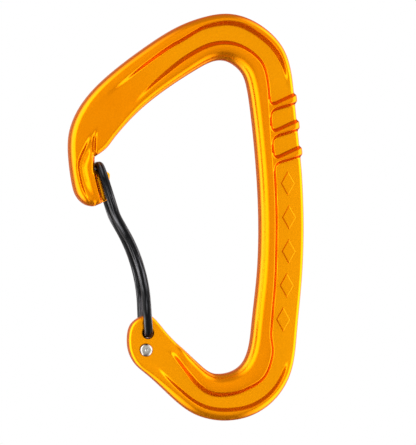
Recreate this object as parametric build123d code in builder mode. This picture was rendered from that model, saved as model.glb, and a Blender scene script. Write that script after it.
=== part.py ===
"""A bent-wiregate climbing carabiner, in millimetres.

The frame is a hot-forged aluminium C with an I-beam section.  Its gate is one
steel wire, bent to a loop whose crossbar rests in a notch behind the nose and
whose two ends pivot in two holes of the lug.  The holes are not in line, so
opening the gate twists the wire, and the wire's own spring shuts it again.

+Z is up, +X runs from the gate to the spine and +Y is the frame's thickness.
The origin is the seat of the top basket, in the frame's middle plane.
"""
import os

from build123d import *

os.makedirs("parts", exist_ok=True)

# ---------------------------------------------------------------- sizes
# The frame as a whole
frame_height = 98.1        # lowest to highest point
frame_width = 56.8         # nose to spine, over everything
frame_thickness = 10.0     # across the rails
spine_reach = 21.2         # top seat to the spine's outer edge, along X
top_bar = 11.3             # width of the bar over the top seat
arm_bar = 11.1             # along the arm that slopes down to the nose
nose_bar = 10.0            # at the nose
spine_bar = 10.7           # along the spine
bottom_bar = 11.2          # under the bottom seat
lug_bar = 10.3             # at the lug
edge_round = 1.6           # rounding of the bar's long edges

# The I-beam section
web_thickness = 4.8        # what the recess leaves between its two floors
rail_width = 4.4           # the thick rail round the rope space
rim_width = 2.4            # the thick rim outside the top and bottom bends

# The three slanted ribs and the raised marks on the spine's flange
rib_count = 3
rib_width = 1.4
rib_pitch = 6.6
rib_drop = 10.4            # top seat down to the first rib
rib_slope = 21.0           # degrees
rib_proud = 0.4            # how far a rib stands out of the spine's edge
mark_count = 5
mark_length = 6.0
mark_width = 3.4
mark_pitch = 8.2
mark_height = 0.4
mark_inset = 3.5           # from the spine's outer edge in to the row
mark_drop = 6.0            # the row's middle under the spine's
spine_bow = 170.0          # radius of the spine's outer edge

# The gate's wire
wire_diameter = 2.1
leg_spacing = 8.5          # between the centre lines of the two legs
loop_radius = 2.6          # bend between the crossbar and a leg
pivot_radius = 1.35        # bend between a leg and its pivot end
gate_rise = 40.2           # front pivot up to the crossbar
gate_lean = 11.7           # how far the crossbar lies towards the nose
pivot_gap = 4.1            # between the two pivot holes
knee_share = 0.70          # a leg's upper bend, as a share of the gate's rise
knee_bow = 0.3             # and how far it bows inwards from the line through the pivots
knee_radius = 12.0
belly_share = 0.405        # its lower bend, likewise
belly_bow = 3.6
belly_radius = 40.0
side_clearance = 0.2       # between a leg and the lug or the tongue
notch_clearance = 0.15     # between the crossbar and the notch
barb_length = 5.0          # more than the barb reaches past the notch's wall
barb_round = 1.4           # the barb's edges, inside the loop's bends

# The lug and the head that keeps the gate in it
pivot_clearance = 0.25     # round the wire in the front hole
pivot_slack = 0.3          # round the wire in the back hole, which takes up the swing
slack_shift_x = -0.19      # the back hole's centre stands off the resting wire,
slack_shift_z = 0.09       # half way along the path that the wire's end takes
head_diameter = 3.1
head_height = 0.55
head_clearance = 0.05

# ---------------------------------------------------------------- places
wire_radius = wire_diameter / 2
leg_offset = leg_spacing / 2
lug_thickness = leg_spacing - wire_diameter - 2 * side_clearance
lug_face = lug_thickness / 2
notch_side = wire_radius + notch_clearance           # round the crossbar's axis

left = spine_reach - frame_width                     # the nose's outermost point
seat_z = -(frame_height - top_bar - bottom_bar)      # the bottom seat
middle_z = 0.53 * seat_z                             # where the spine bows out most

front_pivot = (left + 18.8, seat_z + 9.9)
back_pivot = (front_pivot[0] - 0.4, front_pivot[1] - pivot_gap)
loop_pivot = (front_pivot[0] - gate_lean, front_pivot[1] + gate_rise)


def from_lug(x, z):
    """A point of the lug, from the front pivot."""
    return (front_pivot[0] + x, front_pivot[1] + z)


def from_loop(x, z):
    """A point of the nose, from the closed gate's crossbar."""
    return (loop_pivot[0] + x, loop_pivot[1] + z)


def between(start, end, share_x, share_z):
    """A point part of the way from one bend to the next."""
    return (start[0] + (end[0] - start[0]) * share_x, start[1] + (end[1] - start[1]) * share_z)


lug_neck = from_lug(3.9, -6.5)
spine_foot = (spine_reach - 7.0, seat_z + 10.8)
bottom_bend = between(lug_neck, (spine_foot[0], seat_z - bottom_bar / 2), 0.54, 1)
top_bend = (-6.9, 3.0)
nose_bend = (left + 7.7, -13.7)

# The bar's centre line from the lug, round the bottom, up the spine, over the top and down
# the arm to the nose, with the bar's width at each point.
centre_line = [
    (from_lug(0.6, -2.2), lug_bar),
    (lug_neck, lug_bar),
    (between(lug_neck, bottom_bend, 0.35, 0.52), lug_bar),
    (between(lug_neck, bottom_bend, 0.68, 0.91), (lug_bar + bottom_bar) / 2),
    (bottom_bend, bottom_bar + 0.1),
    (between(bottom_bend, spine_foot, 0.395, 0.067), bottom_bar + 0.4),
    (between(bottom_bend, spine_foot, 0.71, 0.25), bottom_bar + 0.3),
    (between(bottom_bend, spine_foot, 0.90, 0.52), bottom_bar + 0.1),
    (spine_foot, spine_bar + 0.2),
    ((spine_reach - 5.8, 0.70 * seat_z), spine_bar),
    ((spine_reach - 5.35, 0.49 * seat_z), spine_bar),
    ((spine_reach - 6.3, 0.28 * seat_z), spine_bar),
    ((spine_reach - 7.4, -11.1), spine_bar),
    ((spine_reach - 8.2, -5.2), (spine_bar + top_bar) / 2),
    ((spine_reach - 9.8, -0.4), top_bar),
    ((8.1, top_bar / 2 - 2.4), top_bar + 0.1),
    ((2.6, top_bar / 2 - 0.1), top_bar),
    ((-2.3, top_bar / 2 - 0.7), (top_bar + arm_bar) / 2 - 0.3),
    (top_bend, arm_bar),
    (between(top_bend, nose_bend, 0.32, 0.25), arm_bar),
    (between(top_bend, nose_bend, 0.70, 0.61), arm_bar),
    (nose_bend, arm_bar - 0.1),
    ((left + 4.8, -18.8), nose_bar - 0.4),
    ((left + 5.1, -23.7), nose_bar + 0.2),
    (from_loop(-1.7, -4.0), nose_bar - 0.8),
]
first_recess = 2           # the centre line's points between which the recess runs
last_recess = 19
first_flange = 8           # and those between which it is open to the spine's edge
last_flange = 13
last_rope = 21             # the last one whose rope side is whole, before the notch


def across(index, distance):
    """A point beside the centre line, at a distance from it, away from the rope."""
    here = Vector(*centre_line[index][0])
    run_in = here - Vector(*centre_line[max(index - 1, 0)][0])
    run_out = Vector(*centre_line[min(index + 1, len(centre_line) - 1)][0]) - here
    if index in (0, len(centre_line) - 1):
        heading = (run_in + run_out).normalized()
    else:
        heading = (run_in * run_out.length**2 + run_out * run_in.length**2).normalized()
    return here + Vector(heading.Y, -heading.X) * distance


def half_width(index):
    """Half the bar's width at one point of its centre line."""
    return centre_line[index][1] / 2


# ---------------------------------------------------------------- frame
outer_edge = [across(i, half_width(i)) for i in reversed(range(1, len(centre_line)))]
rope_edge = [across(i, -half_width(i)) for i in range(1, last_rope + 1)]
lug_crown = [
    from_lug(-2.5, -7.7),
    from_lug(-4.3, -4.3),
    from_lug(-4.6, -1.2),
    from_lug(-3.8, 2.0),
    from_lug(-1.4, 3.9),
    from_lug(0.6, 4.2),
    from_lug(2.1, 3.1),
    from_lug(4.1, 0.7),
]
nose_tip = [from_loop(-1.4, -9.7), from_loop(-3.7, -9.0), from_loop(-5.5, -6.9)]
nose_bump = from_loop(1.7, 4.2)
notch = [
    (from_loop(-notch_side, 2.2), 0.6),
    (from_loop(-notch_side, -notch_side), 0.4),
    (from_loop(1.6, -notch_side), 0.8),
    (from_loop(3.2, -notch_side - 0.7), 0.7),
    (from_loop(2.3, -8.0), 1.0),
]

with BuildSketch() as blank:
    with BuildLine():
        Spline(*nose_tip, *outer_edge, *lug_crown, *rope_edge, nose_bump)
        Polyline(nose_bump, *[point for point, radius in notch], nose_tip[0])
    make_face()
    for point, radius in notch:
        fillet(blank.vertices().sort_by_distance(Vector(*point))[0], radius)

# The recess lies between the rail and the rim, and is open along the spine's edge.
recess_run = range(first_recess, last_recess + 1)
rail_side = [across(i, rail_width - half_width(i)) for i in recess_run]
rim_side = []
for i in reversed(recess_run):
    on_flange = first_flange <= i <= last_flange
    rim_side.append(across(i, half_width(i) + (rib_proud + 1 if on_flange else -rim_width)))

# The lug is flat and thin, so that the open gate's legs swing past it.
lug_zone = [
    from_lug(8.3, 0.6),
    from_lug(-3.1, -11.1),
    from_lug(-14, -9),
    from_lug(-14, 12),
    from_lug(8.3, 12),
]
with BuildSketch() as recess:
    with BuildLine():
        Spline(*rail_side)
        Polyline(rail_side[-1], *rim_side, rail_side[0])
    make_face()
with BuildSketch() as lug_flat:
    with BuildLine():
        Polyline(*lug_zone, close=True)
    make_face()

# Between the gate's legs the nose is thinned to a tongue with a barb on its end.
with BuildSketch() as tongue_sides:
    with BuildLine():
        Polyline(
            from_loop(-1.5, 1.6),
            from_loop(-1.5, -1.0),
            from_loop(0.0, -8.0),
            from_loop(1.0, -11.0),
            from_loop(6.0, -11.0),
            from_loop(6.0, 1.6),
            close=True,
        )
    make_face()

# The ribs run from the rail down and across the flange to just past the spine's edge.
rib_run = range(first_flange, last_flange + 3)
rib_ends = [across(i, half_width(i) + rib_proud) for i in rib_run]
with BuildSketch() as rib_limit:
    with BuildLine():
        Spline(*rib_ends)
        Polyline(rib_ends[-1], across(rib_run[-1], 0), across(rib_run[0], 0), rib_ends[0])
    make_face()
with BuildSketch() as ribs:
    for i in range(rib_count):
        rib_middle = (spine_reach - spine_bar / 2, -rib_drop - i * rib_pitch, 0)
        with Locations(Location(rib_middle, (0, 0, rib_slope))):
            Rectangle(1.5 * spine_bar, rib_width)
    add(rib_limit.sketch, mode=Mode.INTERSECT)

# A row of raised lozenges stands on the flange below the ribs.
with BuildSketch() as marks:
    for i in range(mark_count):
        mark_z = middle_z - mark_drop + (i - (mark_count - 1) / 2) * mark_pitch
        mark_x = spine_reach - mark_inset - (mark_z - middle_z) ** 2 / (2 * spine_bow)
        with BuildLine():
            Polyline(
                (mark_x, mark_z - mark_length / 2),
                (mark_x + mark_width / 2, mark_z),
                (mark_x, mark_z + mark_length / 2),
                (mark_x - mark_width / 2, mark_z),
                close=True,
            )
        make_face()

with BuildPart() as frame:
    with BuildSketch(Plane.XZ):
        add(blank.sketch)
    extrude(amount=frame_thickness / 2, both=True)
    flat_faces = frame.faces().filter_by(Axis.Y).sort_by(Axis.Y)
    fillet(flat_faces[0].edges() + flat_faces[-1].edges(), edge_round)

    # The recess, the lug's two flats and the tongue's two sides
    for side in (-1, 1):
        with BuildSketch(Plane.XZ.offset(side * web_thickness / 2)):
            add(recess.sketch)
        extrude(amount=side * frame_thickness, mode=Mode.SUBTRACT)
        with BuildSketch(Plane.XZ.offset(side * lug_face)):
            add(lug_flat.sketch)
            add(tongue_sides.sketch)
        extrude(amount=side * frame_thickness, mode=Mode.SUBTRACT)

    # The ribs and marks that stand in the recess
    with BuildSketch(Plane.XZ):
        add(ribs.sketch)
    extrude(amount=frame_thickness / 2, both=True)
    for side in (-1, 1):
        with BuildSketch(Plane.XZ.offset(side * web_thickness / 2)):
            add(marks.sketch)
        extrude(amount=side * mark_height)

    # The two pivot holes through the lug
    with BuildSketch(Plane.XZ):
        with Locations(front_pivot):
            Circle(wire_radius + pivot_clearance)
        with Locations((back_pivot[0] + slack_shift_x, back_pivot[1] + slack_shift_z)):
            Circle(wire_radius + pivot_slack)
    extrude(amount=frame_thickness, both=True, mode=Mode.SUBTRACT)

    # The barb's top edges are rounded to sit inside the bends of the gate's loop.
    barb_top = loop_pivot[1] - notch_side
    corner_y = lug_face - barb_round
    with BuildSketch(Plane.YZ.offset(loop_pivot[0] - notch_side)):
        for side in (-1, 1):
            with Locations((side * (corner_y + barb_round), barb_top)):
                Rectangle(2 * barb_round, 2 * barb_round)
            with Locations((side * corner_y, barb_top - barb_round)):
                Circle(barb_round, mode=Mode.SUBTRACT)
    extrude(amount=barb_length, mode=Mode.SUBTRACT)
frame.part.label = "frame"
export_step(frame.part, "parts/frame.step")

# ---------------------------------------------------------------- gate
# One wire, modelled as two halves that meet in the middle of the crossbar.


def leg_point(share, bow):
    """A bend of the gate's legs, from the line between the front pivot and the crossbar."""
    return (front_pivot[0] - gate_lean * share + bow, front_pivot[1] + gate_rise * share)


def gate_half(side, pivot, end):
    """Half the crossbar, one leg and its pivot end; side is -1 for the front and 1 for the back."""
    leg_y = side * leg_offset
    bends = [loop_pivot, leg_point(knee_share, knee_bow), leg_point(belly_share, belly_bow), pivot]
    route = [(loop_pivot[0], 0, loop_pivot[1])]
    route += [(x, leg_y, z) for x, z in bends]
    route.append((pivot[0], end, pivot[1]))
    radii = [loop_radius, knee_radius, belly_radius, pivot_radius]
    with BuildPart() as half:
        with BuildLine() as path:
            FilletPolyline(*route, radius=radii)
        with BuildSketch(Plane(origin=route[0], x_dir=(1, 0, 0), z_dir=(0, side, 0))):
            Circle(wire_radius)
        sweep(path=path.line)
    return half.part


# The front leg ends inside the lug, behind the back leg, and the back leg ends in the head.
gate_wire_front = gate_half(-1, front_pivot, lug_face - 0.1)
gate_wire_front.label = "gate_wire_front"
export_step(gate_wire_front, "parts/gate_wire_front.step")

gate_wire_back = gate_half(1, back_pivot, -lug_face - head_clearance)
gate_wire_back.label = "gate_wire_back"
export_step(gate_wire_back, "parts/gate_wire_back.step")

# The back leg's end comes out on the lug's front face, where it is upset into a low domed head.
head_plane = Plane(
    origin=(back_pivot[0], -lug_face - head_clearance, back_pivot[1]),
    x_dir=(1, 0, 0),
    z_dir=(0, -1, 0),
)
with BuildPart() as swaged_head:
    with BuildSketch(head_plane):
        Circle(head_diameter / 2)
    extrude(amount=head_height)
    fillet(swaged_head.faces().sort_by(Axis.Y)[0].edges(), 0.7 * head_height)
swaged_head.part.label = "swaged_head"
export_step(swaged_head.part, "parts/swaged_head.step")
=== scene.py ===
# %% [markdown]
# A climbing carabiner with a bent wire gate, about 98 mm tall.  Its frame is one hot-forged
# aluminium bar, anodised orange.  Its gate is one black steel wire whose end is upset into a
# bright head.  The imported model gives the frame's outline and the head's place, and the other
# places below repeat its sizes.  This notebook puts the finished surfaces on it, one piece at a
# time, and then lights them.

import math

import bmesh
import bpy
import numpy as np
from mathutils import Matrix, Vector, geometry


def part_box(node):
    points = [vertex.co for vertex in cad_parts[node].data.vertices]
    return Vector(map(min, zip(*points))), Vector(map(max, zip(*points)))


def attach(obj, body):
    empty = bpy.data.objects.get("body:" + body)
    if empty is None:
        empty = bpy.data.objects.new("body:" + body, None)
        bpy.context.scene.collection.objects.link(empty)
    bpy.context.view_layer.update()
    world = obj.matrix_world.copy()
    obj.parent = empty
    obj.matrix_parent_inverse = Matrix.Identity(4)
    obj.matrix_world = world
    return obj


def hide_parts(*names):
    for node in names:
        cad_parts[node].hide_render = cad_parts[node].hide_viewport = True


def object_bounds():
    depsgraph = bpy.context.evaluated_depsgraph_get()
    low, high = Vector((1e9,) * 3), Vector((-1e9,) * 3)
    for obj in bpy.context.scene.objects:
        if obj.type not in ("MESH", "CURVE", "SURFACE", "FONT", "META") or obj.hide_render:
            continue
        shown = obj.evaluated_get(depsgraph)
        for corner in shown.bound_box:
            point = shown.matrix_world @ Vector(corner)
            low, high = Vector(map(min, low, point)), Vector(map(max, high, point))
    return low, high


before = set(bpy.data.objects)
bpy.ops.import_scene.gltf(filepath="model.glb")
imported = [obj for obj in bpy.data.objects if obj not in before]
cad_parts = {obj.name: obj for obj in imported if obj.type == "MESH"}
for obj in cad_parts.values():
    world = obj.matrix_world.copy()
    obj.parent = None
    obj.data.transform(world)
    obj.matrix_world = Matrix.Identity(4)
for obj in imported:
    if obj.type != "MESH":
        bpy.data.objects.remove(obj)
cad_low, cad_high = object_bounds()

# %% [markdown]
# The shapes below are easier to think about in millimetres, because that is how a forging
# drawing states them.  Blender wants metres, so each mesh is scaled once, as it is made.
# One helper turns points and faces into an object at the origin.

# %% Millimetres, and one helper that makes an object
MM = 0.001


def new_piece(name, points, faces, material=None):
    """A smooth mesh object at the origin, from points in millimetres."""
    mesh = bpy.data.meshes.new(name)
    mesh.from_pydata([tuple(MM * c for c in p) for p in points], [], faces)
    mesh.polygons.foreach_set("use_smooth", [True] * len(mesh.polygons))
    if material:
        mesh.materials.append(material)
    piece = bpy.data.objects.new(name, mesh)
    bpy.context.scene.collection.objects.link(piece)
    return piece


# %% [markdown]
# A colour is written as a web colour, which is sRGB, and a shader wants linear light.  One
# function turns the first into the second.  Another adds a node to a tree, sets what it is
# told to, and links its inputs, so a material reads as a short list.

# %% Colours and nodes
def srgb(code):
    """A web colour such as "ff8800" as linear red, green, blue and an alpha of one."""
    parts = [int(code[i : i + 2], 16) / 255 for i in (0, 2, 4)]
    linear = [c / 12.92 if c <= 0.04045 else ((c + 0.055) / 1.055) ** 2.4 for c in parts]
    return (*linear, 1.0)


COLOURS = {"data_type": "RGBA"}


def node(tree, kind, settings=None, **inputs):
    """Adds a node.  Each input is a value, or another node's output socket to link."""
    made = tree.nodes.new(kind)
    for key, value in (settings or {}).items():
        setattr(made, key, value)
    for key, value in inputs.items():
        slot = int(key[1:]) if key[1:].isdigit() else key.replace("_", " ")
        socket = made.inputs[slot]
        if isinstance(value, bpy.types.NodeSocket):
            tree.links.new(value, socket)
        else:
            socket.default_value = value
    return made


def new_material(name):
    """An empty material, its node tree and its shader."""
    material = bpy.data.materials.new(name)
    material.use_nodes = True
    tree = material.node_tree
    tree.nodes.clear()
    shader = tree.nodes.new("ShaderNodeBsdfPrincipled")
    out = tree.nodes.new("ShaderNodeOutputMaterial")
    tree.links.new(shader.outputs[0], out.inputs[0])
    return material, tree, shader


# %% [markdown]
# ** The frame's finish.** Carabiner frames are forged from 7075 aluminium, tumbled or bead
# blasted until the skin is satin, then anodised and dyed.  Light passes the dyed oxide, meets
# the metal and comes back orange, so highlights are yellow, never white, and where light
# bounces twice between two walls the orange turns to rust.  A mostly metallic shader with an
# orange base does that, and its share that isn't metallic stands for what the oxide itself
# scatters.  The sunk floor's colour is painted lighter, a painted brightening against the
# shade of those bounces.  The blasted skin is drawn by three noises: a fine grain about 0.2 mm
# across, which is coarser than the real 0.05 mm grit so that it shows, a softer mottling of
# the dye at about 4 mm, and a slow waviness that is left by the tumbling.

# %% Dyed and anodised aluminium
anodised, tree, shader = new_material("bead_blasted_anodised_aluminium_orange")
place = node(tree, "ShaderNodeTexCoord").outputs["Object"]
grain = node(tree, "ShaderNodeTexNoise", Vector=place, Scale=1 / (0.22 * MM), Detail=2.0, Roughness=0.6)
mottle = node(tree, "ShaderNodeTexNoise", Vector=place, Scale=1 / (4 * MM), Detail=3.0, Roughness=0.55)
waves = node(tree, "ShaderNodeTexNoise", Vector=place, Scale=1 / (9 * MM), Detail=1.0, Roughness=0.4)
dye_and_painted_floor_light = node(
    tree, "ShaderNodeMix", COLOURS,
    _0=mottle.outputs["Fac"], _6=srgb("c66f00"), _7=srgb("cc7702"),
)
# Painted light: faces less than 4.4 mm off the middle plane, fully at 2.6 mm, such as the sunk floor, are
# painted a lighter orange against the shade of the bounces between the walls.
off_middle = node(tree, "ShaderNodeSeparateXYZ", Vector=place).outputs["Y"]
depth = node(tree, "ShaderNodeMath", {"operation": "ABSOLUTE"}, _0=off_middle)
sunk = node(
    tree, "ShaderNodeMapRange", Value=depth.outputs[0], From_Min=4.4 * MM, From_Max=2.6 * MM
)
dye_and_painted_floor_light = node(
    tree, "ShaderNodeMix", COLOURS, _0=sunk.outputs[0], _6=dye_and_painted_floor_light.outputs[2], _7=srgb("cf8203")
)
satin = node(
    tree, "ShaderNodeMapRange", Value=grain.outputs["Fac"],
    From_Min=0.3, From_Max=0.7, To_Min=0.19, To_Max=0.27,
)
skin_bump = node(
    tree, "ShaderNodeBump", Strength=0.06, Distance=0.02 * MM, Height=grain.outputs["Fac"]
)
wave_bump = node(
    tree, "ShaderNodeBump", Strength=0.12, Distance=0.15 * MM, Height=waves.outputs["Fac"],
    Normal=skin_bump.outputs[0],
)
tree.links.new(dye_and_painted_floor_light.outputs[2], shader.inputs["Base Color"])
tree.links.new(satin.outputs[0], shader.inputs["Roughness"])
tree.links.new(wave_bump.outputs[0], shader.inputs["Normal"])
shader.inputs["Metallic"].default_value = 0.82
shader.inputs["Specular Tint"].default_value = srgb("ff8420")
print("material:", anodised.name)

# %% [markdown]
# ** The gate's finish.** The gate is spring steel wire, cold drawn and then coated black. The
# coating is thin and hard, so it keeps the drawing lines.  They are drawn as grey streaks along
# the wire and almost none around it, and their grey is partly the lines' own and partly painted
# highlight.  The noise is stretched along the wire by an attribute that the wire carries, which
# counts along it and around it.

# %% Black-coated spring steel
wire_black, tree, shader = new_material("drawn_spring_steel_black_coated")
strand = node(tree, "ShaderNodeAttribute", {"attribute_name": "strand"}).outputs["Vector"]
stretch = node(tree, "ShaderNodeMapping", Vector=strand, Scale=(0.05, 1.0, 1.0))
streaks = node(tree, "ShaderNodeTexNoise", Vector=stretch.outputs[0], Scale=2.2, Detail=3.0, Roughness=0.6)
thin = node(
    tree, "ShaderNodeMapRange", Value=streaks.outputs["Fac"], From_Min=0.52, From_Max=0.66
)
place = node(tree, "ShaderNodeTexCoord").outputs["Object"]
specks = node(tree, "ShaderNodeTexNoise", Vector=place, Scale=1 / (0.3 * MM), Detail=2.0)
# Partly painted highlight: the grey streaks in the base colour are drawing lines, lightened to also stand
# for highlights along the wire.
coat_and_painted_streak_highlights = node(
    tree, "ShaderNodeMix", COLOURS, _0=thin.outputs[0], _6=srgb("060607"), _7=srgb("4c4c50")
)
coat_gloss = node(
    tree, "ShaderNodeMapRange", Value=streaks.outputs["Fac"],
    From_Min=0.3, From_Max=0.7, To_Min=0.34, To_Max=0.2,
)
coat_bump = node(tree, "ShaderNodeBump", Strength=0.12, Distance=0.02 * MM, Height=specks.outputs["Fac"])
tree.links.new(coat_and_painted_streak_highlights.outputs[2], shader.inputs["Base Color"])
tree.links.new(coat_gloss.outputs[0], shader.inputs["Roughness"])
shine = node(tree, "ShaderNodeMapRange", Value=thin.outputs[0], To_Min=0.06, To_Max=0.34)
tree.links.new(shine.outputs[0], shader.inputs["Specular IOR Level"])
tree.links.new(coat_bump.outputs[0], shader.inputs["Normal"])
shader.inputs["Metallic"].default_value = 0.0
shader.inputs["IOR"].default_value = 1.5
print("material:", wire_black.name)

# %% [markdown]
# **The head's finish.**  The wire's end is hammered into a head after coating, so the black
# cracks off and bare steel shows, bright, with the marks of the tool.

# %% Bare upset steel
head_steel, tree, shader = new_material("upset_bare_steel")
place = node(tree, "ShaderNodeTexCoord").outputs["Object"]
dents = node(tree, "ShaderNodeTexNoise", Vector=place, Scale=1 / (0.5 * MM), Detail=3.0, Roughness=0.6)
steel = node(
    tree, "ShaderNodeMix", COLOURS, _0=dents.outputs["Fac"], _6=srgb("4f4d4a"), _7=srgb("bcbab4")
)
dent_bump = node(tree, "ShaderNodeBump", Strength=0.5, Distance=0.12 * MM, Height=dents.outputs["Fac"])
tree.links.new(steel.outputs[2], shader.inputs["Base Color"])
tree.links.new(dent_bump.outputs[0], shader.inputs["Normal"])
shader.inputs["Metallic"].default_value = 1.0
shader.inputs["Roughness"].default_value = 0.2
print("material:", head_steel.name)

# %% [markdown]
# **The frame's outline.**  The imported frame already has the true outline: it is where the
# forging's parting plane, y = 0, cuts it.  So a copy of the frame is cut there, and the loose
# triangles' crossing edges are chained into loops: one long loop, and one for each of the two
# pivot holes.

# %% Cut the frame in its middle plane
def middle_loops(name):
    """The loops in which y = 0 cuts a CAD node, as arrays of (x, z) in mm, tallest first."""
    cut = bmesh.new()
    cut.from_mesh(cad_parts[name].data)
    bmesh.ops.remove_doubles(cut, verts=cut.verts, dist=1e-6)
    everything = cut.verts[:] + cut.edges[:] + cut.faces[:]
    result = bmesh.ops.bisect_plane(
        cut, geom=everything, dist=1e-7, plane_co=(0, 0, 0), plane_no=(0, 1, 0)
    )
    beside = {}
    for edge in result["geom_cut"]:
        if isinstance(edge, bmesh.types.BMEdge):
            first, second = edge.verts
            beside.setdefault(first, []).append(second)
            beside.setdefault(second, []).append(first)
    loops, done = [], set()
    for start in beside:
        if start in done:
            continue
        loop = [start]
        while loop:
            done.add(loop[-1])
            onward = [v for v in beside[loop[-1]] if v not in done]
            if not onward:
                break
            loop.append(onward[0])
        loops.append(np.array([(v.co.x / MM, v.co.z / MM) for v in loop]))
    cut.free()
    return sorted(loops, key=lambda loop: -np.ptp(loop[:, 1]))


loops = middle_loops("frame")
print("loops of", [len(loop) for loop in loops], "points")

# %% [markdown]
# The three ribs stand a little proud of the spine's edge, so the cut has three small steps
# there.  They are taken off the loop now and come back with the ribs, rounded.  The rest is
# joined by a smooth curve through every point: a centripetal Catmull-Rom curve, which doesn't
# overshoot where a long step meets a short one.

# %% The ribs' lines, and a smooth outline without them
spine_edge = cad_high[0] / MM
rib_slope = math.radians(21)
rib_count, rib_pitch, rib_width = 3, 6.6, 1.4
first_rib = np.array((spine_edge - 5.4, -10.4))
rib_middles = [first_rib - (0, i * rib_pitch) for i in range(rib_count)]
rib_normal = np.array((-math.sin(rib_slope), math.cos(rib_slope)))


def off_rib(points, middle):
    """How far points lie from one rib's middle line, upwards positive."""
    return (points - middle) @ rib_normal


def blend(low, high, at, first, last):
    """The first value at low, the last one at high, and even steps between them."""
    return (high - at) / (high - low) * first + (at - low) / (high - low) * last


def smooth_closed(points, step):
    """A closed curve through the points, sampled about every step."""
    count, curve = len(points), []
    for i in range(count):
        p = [points[(i + k) % count] for k in (-1, 0, 1, 2)]
        t = [0.0]
        for k in range(3):
            t.append(t[-1] + max(np.linalg.norm(p[k + 1] - p[k]), 1e-9) ** 0.5)
        pieces = max(1, int(round(np.linalg.norm(p[2] - p[1]) / step)))
        for u in t[1] + (t[2] - t[1]) * np.arange(pieces) / pieces:
            a = [blend(t[k], t[k + 1], u, p[k], p[k + 1]) for k in range(3)]
            b = [blend(t[k], t[k + 2], u, a[k], a[k + 1]) for k in range(2)]
            curve.append(blend(t[1], t[2], u, b[0], b[1]))
    return np.array(curve)


raw = loops[0]
on_rib = np.zeros(len(raw), bool)
for middle in rib_middles:
    on_rib |= (np.abs(off_rib(raw, middle)) < rib_width / 2 + 0.35) & (raw[:, 0] > spine_edge - 4)
outline = smooth_closed(raw[~on_rib], 0.12)
holes = [smooth_closed(loop, 0.2) for loop in loops[1:]]
print("outline of", len(outline), "points;", int(on_rib.sum()), "rib points left out")

# %% [markdown]
# **How the surface is built.**  The bar could be swept as one profile, but its section keeps
# changing: the rail widens at the bends, the rim fades in and out, and the ribs cross it.  So
# the bar is a row of about 530 sections, each from the rope side to the outer side, and each
# section is drawn by the same rule from a few numbers that change along the bar.  The lug and
# the nose have no such direction, so they are filled with triangles, and their height comes
# from the distance to their edge.
#
# The outline is first divided at two seams, one where the lug begins and one above the nose.

# %% Divide the outline into the bar's two sides, the lug and the nose
def ease(t):
    """0 up to t = 0, 1 from t = 1, and smooth between."""
    t = np.clip(t, 0, 1)
    return t * t * (3 - 2 * t)


def evenly(values, window):
    """Values smoothed by a moving bell, with both ends kept."""
    reach = 3 * window
    bell = np.exp(-0.5 * (np.arange(-reach, reach + 1) / window) ** 2)
    before = 2 * values[0] - values[reach:0:-1]
    after = 2 * values[-1] - values[-2 : -reach - 2 : -1]
    return np.convolve(np.concatenate([before, values, after]), bell / bell.sum(), "valid")


seam_points = {
    "outer_lug": (-18.2, -74.6),
    "outer_nose": (-31.6, -10.3),
    "rope_nose": (-23.6, -16.9),
    "rope_lug": (-11.1, -67.9),
}


def nearest(points, target):
    """The index of the point nearest to a target."""
    return int(np.argmin(((points - np.array(target)) ** 2).sum(1)))


outline = np.roll(outline, -nearest(outline, seam_points["outer_lug"]), axis=0)
if nearest(outline, seam_points["outer_nose"]) > nearest(outline, seam_points["rope_nose"]):
    outline = np.roll(outline[::-1], 1, axis=0)
a, b, c = (nearest(outline, seam_points[k]) for k in ("outer_nose", "rope_nose", "rope_lug"))
outer_side = outline[: a + 1]
nose_line = outline[a : b + 1]
# The barb is shortened to a share of its length, from its root.
barb_root, barb_top, barb_share = -27, -25, 0.62
barb = (nose_line[:, 0] > barb_root) & (nose_line[:, 1] < barb_top)
nose_line[barb, 0] = barb_root + barb_share * (nose_line[barb, 0] - barb_root)


def softened(line, centre, reach, window):
    """A line whose points near a centre are averaged with their neighbours."""
    share = ease(1.5 - 1.5 * np.linalg.norm(line - np.array(centre), axis=1) / reach)[:, None]
    average = np.stack([evenly(line[:, k], window) for k in (0, 1)], axis=1)
    return line + (average - line) * share


nose_line = softened(nose_line, (-25.9, -27.4), 2.6, 4)
nose_line = softened(nose_line, (-26.8, -21.3), 3.0, 9)
rope_side = outline[b : c + 1][::-1]
lug_line = np.vstack([outline[c:], outline[:1]])
print("outer", len(outer_side), "nose", len(nose_line), "rope", len(rope_side), "lug", len(lug_line))

# %% [markdown]
# Each section joins a point of the outer side to the nearest point of the rope side.  The
# places on the rope side are smoothed, so that neighbouring sections never cross or bunch up.
# Sections are 0.45 mm apart, and closer where there is more to draw: at the ribs and at the
# ends of the rims.

# %% Lay the sections across the bar
def lengths(points):
    """The length along a line of points, up to each of them."""
    return np.concatenate([[0], np.cumsum(np.linalg.norm(np.diff(points, axis=0), axis=1))])


def at_length(points, along, where):
    """Points of a line at the given lengths."""
    return np.stack([np.interp(where, along, points[:, k]) for k in (0, 1)], axis=1)


outer_along, rope_along = lengths(outer_side), lengths(rope_side)
probe = np.arange(0, outer_along[-1], 0.3)
probe_points = at_length(outer_side, outer_along, probe)
reach = np.array([rope_along[nearest(rope_side, p)] for p in probe_points])
reach = evenly(np.maximum.accumulate(reach), 12)
reach = (reach - reach[0]) / (reach[-1] - reach[0]) * rope_along[-1]

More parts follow.
